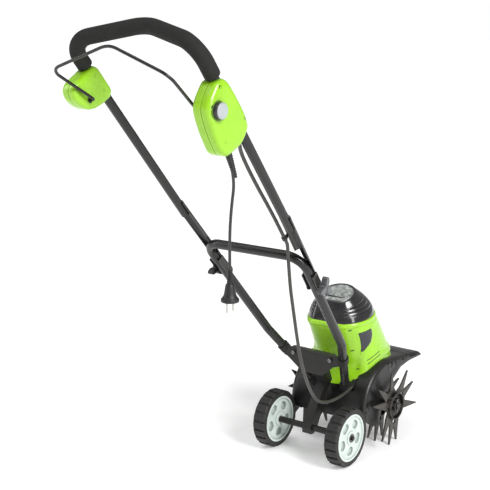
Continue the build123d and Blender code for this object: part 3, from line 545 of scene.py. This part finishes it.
def seam_height(ahead, y):
    """Height at which the column through a section point meets the seam."""
    low, high = 150.0, 292.0
    slope = (SEAM_FRONT[1] - SEAM_BACK[1]) / (SEAM_FRONT[0] - SEAM_BACK[0])
    for _ in range(24):
        middle = (low + high) / 2
        place = on_motor(ahead, y, middle) / S
        line = SEAM_BACK[1] + slope * (place.x - AXLE_X - SEAM_BACK[0])
        if place.z < line:
            low = middle
        else:
            high = middle
    return low


def foot_height(index):
    """Height at which a column of the cover goes under the hood's skin."""
    height = 200.0
    while height > 74:
        ahead, y = outline_at(height)[index]
        place = on_motor(ahead, y, height) / S
        x, z = place.x - AXLE_X, place.z
        if x > SHELF_X:
            under = z < shelf(x) - 1.5
        else:
            under = math.hypot(x - HOOD_X, z - HOOD_Z) < HOOD_RADIUS - 1.5
        if under and not (abs(y) < 66 and x < 195):
            return height
        height -= 3
    return 74.0


_outlines = {}


def outline_at(height, inset=0.0):
    """The outline at a height, worked out once for each height and inset."""
    key = (round(height, 2), round(inset, 2))
    if key not in _outlines:
        _outlines[key] = outline(*key)
    return _outlines[key]


def bump_at(value, middle, reach):
    """Smooth bump of height 1 around a value."""
    share = abs(value - middle) / reach
    return 0.0 if share >= 1 else (1 + math.cos(math.pi * share)) / 2


tops = []
for i in range(COLUMNS):
    ahead, y = outline_at(SHOULDER)[i]
    for _ in range(4):
        top = seam_height(ahead, y)
        ahead, y = outline_at(top)[i]
    tops.append(top)
feet = [foot_height(i) for i in range(COLUMNS)]
for _ in range(14):
    feet = [(feet[i - 1] + 2 * feet[i] + feet[(i + 1) % COLUMNS]) / 4 for i in range(COLUMNS)]


def hem(turn):
    """Foot of the cover's skirt on the hood's skin: a rounded rectangle seen from above."""
    along = math.copysign(abs(math.cos(turn)) ** 0.8, math.cos(turn))
    across = math.copysign(abs(math.sin(turn)) ** 0.8, math.sin(turn))
    x = 187 + (116 if along > 0 else 94) * along
    if x > SHELF_X:
        z = shelf(x) + 0.8
    else:
        z = HOOD_Z + math.sqrt((HOOD_RADIUS + 1) ** 2 - (x - HOOD_X) ** 2)
    return at(x, 96 * across, z)


hems = [hem(turn_at(i)) for i in range(COLUMNS)]
toes = [on_motor(*outline_at(feet[i])[i], feet[i]) for i in range(COLUMNS)]
cover_rings = []
for k in range(RINGS + 1):
    ring = []
    for i in range(COLUMNS):
        turn = turn_at(i)
        height = feet[i] + (tops[i] - feet[i]) * k / RINGS
        below = tops[i] - height
        above = height - feet[i]
        # A band under the seam, a ridge along the foot and a swelling at the left rear.
        proud = 1.6 * bump_at(below, 5, 8) - 1.2 * bump_at(below, 13.5, 3.5)
        front_side = max(0.0, 1 - abs(abs(turn) - 0.9) / 0.9) ** 0.5
        proud += 2.6 * front_side * bump_at(above, 24, 12)
        proud += 3.2 * bump_at(turn, 2.5, 0.5) * bump_at(below, 8, 14)
        ahead, y = outline_at(height, -proud)[i]
        # Towards the rear, the lowest 62 mm swing out to the hem.
        rear = min(1.0, max(0.0, (abs(turn) - 1.3) / 0.9))
        skirt = max(0.0, 1 - above / 62) ** 1.5 * rear * rear * (3 - 2 * rear)
        ring.append(on_motor(ahead, y, height) + (hems[i] - toes[i]) * skirt)
    cover_rings.append(ring)
lip = []
for i in range(COLUMNS):
    ahead, y = outline_at(tops[i], 1.4)[i]
    lip.append(on_motor(ahead, y, tops[i] + 0.2))
cover_rings.append(lip)
cover = loft("cover_shell", cover_rings, "lime", "chassis", caps=False, smooth=60)
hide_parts("motor_cover")

rings = []
for k in range(CAP_RINGS + 1):
    ring = []
    for i in range(COLUMNS):
        turn = turn_at(i)
        share = k / CAP_RINGS
        height = tops[i] + 0.3 + (288 - tops[i]) * share
        above = height - tops[i]
        sides = bump_at(turn, -1.72, 0.72) ** 0.3 + bump_at(turn, 1.72, 0.72) ** 0.3
        inset = 0.9 * bump_at(above, 0, 2.5)
        for step in range(3):  # the louvres on each side
            inset += 2.4 * min(sides, 1) * bump_at(share, 0.36 + 0.17 * step, 0.045)
            inset -= 0.7 * min(sides, 1) * bump_at(share, 0.43 + 0.17 * step, 0.04)
        ahead, y = outline_at(height, inset)[i]
        ring.append(on_motor(ahead, y, height))
    rings.append(ring)
for inset, height in ((1.2, 290), (3.6, 291.6), (6.4, 291.4), (7.4, 289.6)):
    rings.append([on_motor(a, y, height) for a, y in outline_at(288, inset)])
cap = loft("cap_shell", rings, "cap", "chassis", caps=False, smooth=60)
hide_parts("motor_cap")

rings = []
for inset, height in ((7.2, 288.4), (7.4, 290.2), (9, 291), (14, 291.3), (24, 291.5)):
    rings.append([on_motor(a, y, height) for a, y in outline_at(288, inset)])
plate = loft("top_plate", rings, "mottled", "chassis", smooth=60)
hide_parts("cap_grille")


def on_cover(degrees, height, proud=0.0):
    """A point on the cover's skin from its turn about the motor and its height."""
    column = (degrees + 180) / 360 * COLUMNS
    first = int(column)
    spots = []
    for i in (first, first + 1):
        place = (height - feet[i]) / (tops[i] - feet[i]) * RINGS
        row = int(min(max(place, 0), RINGS - 1))
        spots.append(cover_rings[row][i].lerp(cover_rings[row + 1][i], place - row))
    turn = math.radians(degrees)
    outward = MOTOR_AHEAD * math.cos(turn) + Vector((0, math.sin(turn), 0))
    return spots[0].lerp(spots[1], column - first) + outward * proud * S


def patch(name, left, right, material, proud=0.5, rows=14, across=10):
    """A thin inlay on the cover between a left and a right edge of (degrees, height) points."""

    def along(edge, share):
        spots = [k / (len(edge) - 1) for k in range(len(edge))]
        return (blend_value(spots, [e[0] for e in edge], share),
                blend_value(spots, [e[1] for e in edge], share))

    bm = bmesh.new()
    grid = []
    for r in range(rows + 1):
        row = []
        for c in range(across + 1):
            a, b = along(left, r / rows), along(right, r / rows)
            share = c / across
            rim = min(r, rows - r, c, across - c) == 0
            spot = on_cover(a[0] + (b[0] - a[0]) * share, a[1] + (b[1] - a[1]) * share,
                            0.0 if rim else proud)
            row.append(bm.verts.new(spot))
        grid.append(row)
    weave(bm, grid)
    mesh = bpy.data.meshes.new(name)
    bm.to_mesh(mesh)
    bm.free()
    link(name, mesh, material, "chassis", 0)
    shade_smooth(mesh)


patch("badge_rim", ((-126.5, 222), (-126.5, 200), (-128, 176), (-129.5, 152)),
      ((-89, 211.5), (-91, 192), (-101, 172), (-126.5, 150)), "lime", 1.1)
patch("badge", ((-124, 219), (-124, 199), (-126, 177), (-128.5, 157)),
      ((-92, 209.5), (-94, 191), (-104, 172.5), (-127.5, 156)), "badge", 1.7)
for index, (degrees, height) in enumerate(((-136.4, 231), (-143.5, 170), (-142.4, 110))):
    patch(f"rear_slot_{index}", ((degrees, height + 1.6), (degrees, height - 1.6)),
          ((degrees + 6, height + 1.6), (degrees + 6, height - 1.6)), "slot", 0.5, 4, 8)
for index, height in enumerate((132, 123)):
    patch(f"side_groove_{index}", ((-121, height + 1), (-121, height - 1)),
          ((-94, height + 1), (-94, height - 1)), "slot", 0.45, 4, 20)

# ---------------------------------------------------------------- hood
def round_hood(turn):
    """A point on the hood's round part, ahead of the axle and up."""
    return (HOOD_X + HOOD_RADIUS * math.cos(turn), HOOD_Z + HOOD_RADIUS * math.sin(turn))


# The hood's skin along its middle, and the lower edge of its sides, from the front to the rear.
OUTER = [(359, 185), (300, 193.3), (260, 198.9), (225, 203.9), (203.4, 206.9)]
OUTER += [round_hood(math.radians(t)) for t in (100, 120, 140, 155, 170, 188)]
LOWER = [(357, 180.5), (294, 182), (253, 177), (218, 158), (199, 142), (179, 130), (161, 96),
         (149, 60), (125, 57), (112, 62), (80, 84)]
TURNS = [82, 82, 82, 82, 82, 100, 120, 140, 155, 170, 188]
STEPS = 8
stations = []
for k in range(len(OUTER) - 1):
    for step in range(STEPS + (k == len(OUTER) - 2)):
        share = step / STEPS
        if k < 4:
            outer = tuple(OUTER[k][j] + (OUTER[k + 1][j] - OUTER[k][j]) * share for j in (0, 1))
            normal = (0.14, 0.99)
        else:
            turn = math.radians(TURNS[k] + (TURNS[k + 1] - TURNS[k]) * share)
            outer = round_hood(turn)
            normal = (math.cos(turn), math.sin(turn))
        lower = tuple(LOWER[k][j] + (LOWER[k + 1][j] - LOWER[k][j]) * share for j in (0, 1))
        stations.append((outer, lower, normal, k + share))
# Columns across the hood: the first five go down the side, as far as DROP says.
ACROSS = [-105.0] * 5 + [-104.4, -102.2, -99, -95.5, -86, -77, -68, -50, -25, 0]
ACROSS += [-y for y in reversed(ACROSS[:-1])]
DROP = [1.0, 0.66, 0.33, 0.12, 0.0]


def wanted_on_hood(r, c):
    """Whether a quad lies outside the opening under the motor cover."""
    middle = (stations[r][3] + stations[r + 1][3]) / 2
    from_middle = abs(ACROSS[c] + ACROSS[c + 1]) / 2
    return not (from_middle < 68 and 4.0 < middle < 7.7)


bm = bmesh.new()
grid = []
for outer, lower, normal, place in stations:
    row = []
    ridge = 1.3 * bump_at(place, 0.55, 0.22) + 1.3 * bump_at(place, 0.95, 0.22)
    for c, y in enumerate(ACROSS):
        c = min(c, len(ACROSS) - 1 - c)
        # The skin pulls in towards its edge, and two ridges run across the front.
        round_off = {4: 9.0, 5: 5.6, 6: 2.4, 7: 0.6}.get(c, 0.0)
        low_reach = math.hypot(outer[0] - lower[0], outer[1] - lower[1])
        round_off = min(round_off, 0.8 * low_reach)
        shoulder = (outer[0] - normal[0] * round_off, outer[1] - normal[1] * round_off)
        if c < 4:
            share = DROP[c]
            spot = tuple(shoulder[j] + (lower[j] - shoulder[j]) * share for j in (0, 1))
            if c == 0:
                spot = lower
        else:
            lift = ridge if c > 6 else 0.0
            spot = (shoulder[0] + normal[0] * lift, shoulder[1] + normal[1] * lift)
        row.append(bm.verts.new(at(spot[0], y, spot[1])))
    grid.append(row)
weave(bm, grid, wanted_on_hood)
bmesh.ops.delete(bm, geom=[v for v in bm.verts if not v.link_faces], context="VERTS")
bmesh.ops.recalc_face_normals(bm, faces=bm.faces)
hood_mesh = bpy.data.meshes.new("hood_shell")
bm.to_mesh(hood_mesh)
bm.free()
hood = link("hood_shell", hood_mesh, "hood", smooth=50)
solid = hood.modifiers.new("solid", "SOLIDIFY")
solid.thickness = 0.003
solid.offset = -1
bevel(hood, 0.0008, 50)
settle(hood)
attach(hood, "chassis")
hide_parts("tine_hood")


# ---------------------------------------------------------------- boxes on the handle
def chaikin(points):
    """Rounds a closed outline by cutting its corners, a little less the first time."""
    for share in (0.16, 0.25, 0.25):
        cut = []
        for i, a in enumerate(points):
            b = points[(i + 1) % len(points)]
            cut.append((a[0] + (b[0] - a[0]) * share, a[1] + (b[1] - a[1]) * share))
            cut.append((b[0] + (a[0] - b[0]) * share, b[1] + (a[1] - b[1]) * share))
        points = cut
    return points


def centre_of(points):
    """The middle of an outline's points."""
    count = len(points)
    return sum(p[0] for p in points) / count, sum(p[1] for p in points) / count


def inward(points, amount):
    """The outline moved inward."""
    count = len(points)
    area = sum(points[i][0] * points[(i + 1) % count][1] - points[(i + 1) % count][0] * points[i][1]
               for i in range(count))
    side = 1 if area > 0 else -1
    moved = []
    for i, p in enumerate(points):
        before, after = points[i - 3], points[(i + 3) % count]
        along = Vector((after[0] - before[0], after[1] - before[1])).normalized()
        moved.append((p[0] - along.y * amount * side, p[1] + along.x * amount * side))
    return moved


def pod(name, corners, hand, near, seam, far, near_round, far_round):
    """A rounded two-part moulding with a seam groove: hand is 1 on the left and -1 on the right."""
    base = inward(chaikin(corners), -1.4)
    middle = centre_of(base)
    levels = []
    for k in range(9):
        turn = math.pi / 2 * k / 8
        levels.append((near_round * (1 - math.sin(turn)),
                       near + near_round * (1 - math.cos(turn))))
    levels += [(0, seam - 6), (0, seam - 0.9), (0.9, seam - 0.5), (0.9, seam + 0.5),
               (0, seam + 0.9), (0, seam + 4)]
    for k in range(11):
        turn = math.pi / 2 * k / 10
        levels.append((far_round * (1 - math.cos(turn)), far - far_round * (1 - math.sin(turn))))
    rings = [[on_handle(a, b, y * hand) for a, b in inward(base, inset)] for inset, y in levels]
    share = 0.55  # of the way out, where a flat end has one more ring
    ends = []
    for inset, y in ((near_round, near), (far_round, far)):
        ends.append([on_handle(middle[0] + (a - middle[0]) * share,
                               middle[1] + (b - middle[1]) * share, y * hand)
                     for a, b in inward(base, inset)])
    rings = [ends[0]] + rings + [ends[1]]
    return loft(name, rings, "lime", "handle", smooth=60)


# Outlines from the side: run up the handle and distance ahead of the tube.
BOX_EDGE = ((446, -12), (438, 5), (425, 12), (388, 13), (351, 12), (322, 5), (314, -15), (311, -33),
            (317, -56), (323, -74), (339, -83), (381, -77), (414, -68), (429, -60), (438, -43))
COVER_EDGE = ((454, 5), (444, 11), (435, 12), (406, 12), (386, 12), (378, 0), (382, -22),
              (389, -42), (400, -58), (418, -68), (438, -72), (454, -67), (461, -52), (456, -18))
box_shell = pod("switch_box_shell", BOX_EDGE, -1, 131, 153, 173, 8, 12)
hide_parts("switch_box_inner", "switch_box_outer")
cover_shell = pod("left_cover_shell", COVER_EDGE, 1, 136, 153, 173, 9, 9)
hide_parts("left_cover_inner", "left_cover_outer")

OUT = Vector((0, -1, 0))
BUTTON = (409, -45)  # run and ahead of the lock button
# The collar is in the darker lime, painted shade in the recess round the button.
turned("button_collar", on_handle(*BUTTON, -172.2), OUT,
       ((-2, 18.5), (0.6, 18.5), (1.6, 17.8), (1.8, 16.6), (0.4, 15.9), (-3, 15.9)),
       "lime_painted_shade", "handle")
turned("button_sleeve", on_handle(*BUTTON, -172), OUT,
       ((0, 15.5), (9.5, 15.5), (10.4, 15.2), (10.4, 14.2), (0, 14.2)),
       "knob", "lock_button")
turned("button_face", on_handle(*BUTTON, -182), OUT,
       ((0, 13.6), (1.4, 13.6), (2.1, 13.0), (2.3, 11.5), (1.7, 10.6), (1.7, 8.2), (2.1, 7.6),
        (2.1, 4.8), (1.8, 4.2), (1.8, 0.1)),
       "button", "lock_button")
for index, (run, ahead) in enumerate(((436, -14), (352, -66), (345, 1), (424, -52))):
    turned(f"box_screw_{index}", on_handle(run, ahead, -171.4), OUT,
           ((-4, 3.4), (1.2, 3.4), (1.7, 3.0), (1.5, 2.4), (-1.5, 2.2), (-1.7, 0.1)),
           "slot", "handle", sides=24)
for index, (run, ahead) in enumerate(((440, -6), (402, -6))):
    turned(f"cover_screw_{index}", on_handle(run, ahead, 137), OUT,
           ((-4, 3.2), (0.6, 3.2), (1.1, 2.8), (0.9, 2.2), (-1.5, 2.0), (-1.7, 0.1)),
           "slot", "handle", sides=24)
for name, y, way in (("bail_socket", 135.6, OUT), ("bail_socket_right", -130.6, (0, 1, 0))):
    turned(name, on_handle(415, -46, y), way,
           ((-3, 6.5), (0, 6.5), (0.8, 6.0), (0.8, 4.2), (-2, 3.9)),
           "slot", "handle", sides=32)

# ---------------------------------------------------------------- plug, boot, gland, ring
gland_axis = lower_points[-4] - lower_points[-2]
profile = [(-4, 9.5), (1.5, 9.5), (2.5, 8.8)]
for k in range(4):
    profile += [(4 + 5 * k, 7.4 - 0.5 * k), (6.6 + 5 * k, 7.2 - 0.5 * k), (7, 6.2 - 0.4 * k),
                (8.4 + 5 * k, 6.1 - 0.4 * k)]
# No step goes back along the axis.
profile = [(max(p[0], profile[max(i - 1, 0)][0]), p[1]) for i, p in enumerate(profile)]
profile += [(26, 4.6), (26.5, 3.8)]
turned("cable_gland", at(110, -58, 166), gland_axis, profile,
       "rubber", "chassis", sides=32)
turns = [2 * math.pi * k / 9 for k in range(10)]
ring_line = [at(14, -5 + 9 * math.cos(t), 226 + 9 * math.sin(t)) for t in turns]
wire("pull_ring", ring_line, 1.1, "steel", "chassis")
plug_spot = at(-514, -156, 586)
profile = [(0, 3.0), (0.4, 4.4)]
for k in range(6):
    profile += [(1 + 4.2 * k, 4.7 + 0.28 * k), (3.2 + 4.2 * k, 4.8 + 0.28 * k),
                (3.6 + 4.2 * k, 3.7 + 0.28 * k), (4.6 + 4.2 * k, 3.7 + 0.28 * k)]
profile += [(26.5, 6.8), (29, 8.2), (33, 9.3), (39, 10.2), (46, 11.4), (51, 13.2), (54, 15.4),
            (55.5, 16.9), (56.5, 17.5), (60.6, 17.5), (61.6, 16.9), (62, 15.8), (62, 0.1)]
turned_plug = turned("plug_shell", plug_spot, (0, 0, -1), profile, "rubber", "handle",
                     caps=True)
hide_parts("plug_body")
boot_axis = lead_route[1] - on_handle(316, -57.5, LEAD_Y)
profile = [(0, 7)]
for k in range(9):
    base = 7 - 0.28 * k
    profile += [(4 + 5.4 * k, base), (6.4 + 5.4 * k, base - 0.1), (6.9 + 5.4 * k, base - 1.0),
                (8.6 + 5.4 * k, base - 1.1)]
profile += [(54, 4.3), (55, 3.0)]
boot = turned("boot_shell", on_handle(317, -57.3, LEAD_Y), boot_axis, profile,
              "rubber", "handle", sides=32)
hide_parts("lead_boot")

# ---------------------------------------------------------------- camera, light, floor
camera_data = bpy.data.cameras.new("camera")
camera = put("camera", camera_data)
yaw, pitch = 0.6435, 0.2201
look = Vector((math.cos(yaw) * math.cos(pitch), math.sin(yaw) * math.cos(pitch), -math.sin(pitch)))
camera.location = at(-2057.65, -1349.61, 1065.39)
camera.rotation_euler = look.to_track_quat("-Z", "Y").to_euler()
camera_data.sensor_width = 36
camera_data.lens = 79.33
camera_data.shift_x = -0.0007
camera_data.shift_y = 0.0045
camera_data.clip_end = 50
bpy.context.scene.camera = camera

world = bpy.data.worlds.new("studio")
bpy.context.scene.world = world
world.use_nodes = True
air = world.node_tree
background = air.nodes["Background"]
background.inputs["Color"].default_value = (1, 1, 1, 1)
seen = air.nodes.new("ShaderNodeLightPath")
# The camera sees the background white, and it lights the object with a third of that.
level = air.nodes.new("ShaderNodeMapRange")
level.inputs["To Min"].default_value = 0.33
level.inputs["To Max"].default_value = 1.0
air.links.new(seen.outputs["Is Camera Ray"], level.inputs["Value"])
air.links.new(level.outputs["Result"], background.inputs["Strength"])


def sun(name, source, strength, spread):
    """A soft, even light from a direction."""
    data = bpy.data.lights.new(name, "SUN")
    data.energy = strength
    data.angle = math.radians(spread)
    light = put(name, data)
    light.rotation_euler = (-Vector(source)).to_track_quat("-Z", "Y").to_euler()


def panel(name, place, target, size, power):
    """A soft box near the object, for long highlights on gloss."""
    data = bpy.data.lights.new(name, "AREA")
    data.shape = "RECTANGLE"
    data.size, data.size_y = size
    data.energy = power
    light = put(name, data)
    light.location = place
    light.rotation_euler = (Vector(target) - Vector(place)).to_track_quat("-Z", "Y").to_euler()


sun("key", (-0.2, -0.8, 0.62), 2.15, 24)
sun("top", (-0.2, 0.3, 1.0), 0.7, 50)
panel("strip", (-0.6, -2.4, 1.6), (0.1, 0, 0.5), (0.35, 2.4), 24)
panel("back_strip", (-1.6, 2.0, 1.3), (0.0, 0, 0.5), (0.3, 2.0), 12)

floor_mesh = bpy.data.meshes.new("floor")
floor_mesh.from_pydata([(-30, -30, 0), (30, -30, 0), (30, 30, 0), (-30, 30, 0)], [], [(0, 1, 2, 3)])
floor_material, _, floor_shader = graph("floor_white")
floor_shader.inputs["Base Color"].default_value = (0.9, 0.9, 0.9, 1)
floor_shader.inputs["Roughness"].default_value = 0.95
floor_shader.inputs["Emission Color"].default_value = (1, 1, 1, 1)
floor_shader.inputs["Emission Strength"].default_value = 0.25
floor = put("floor", floor_mesh)
floor_mesh.materials.append(floor_material)
bpy.context.scene.view_settings.view_transform = "Standard"
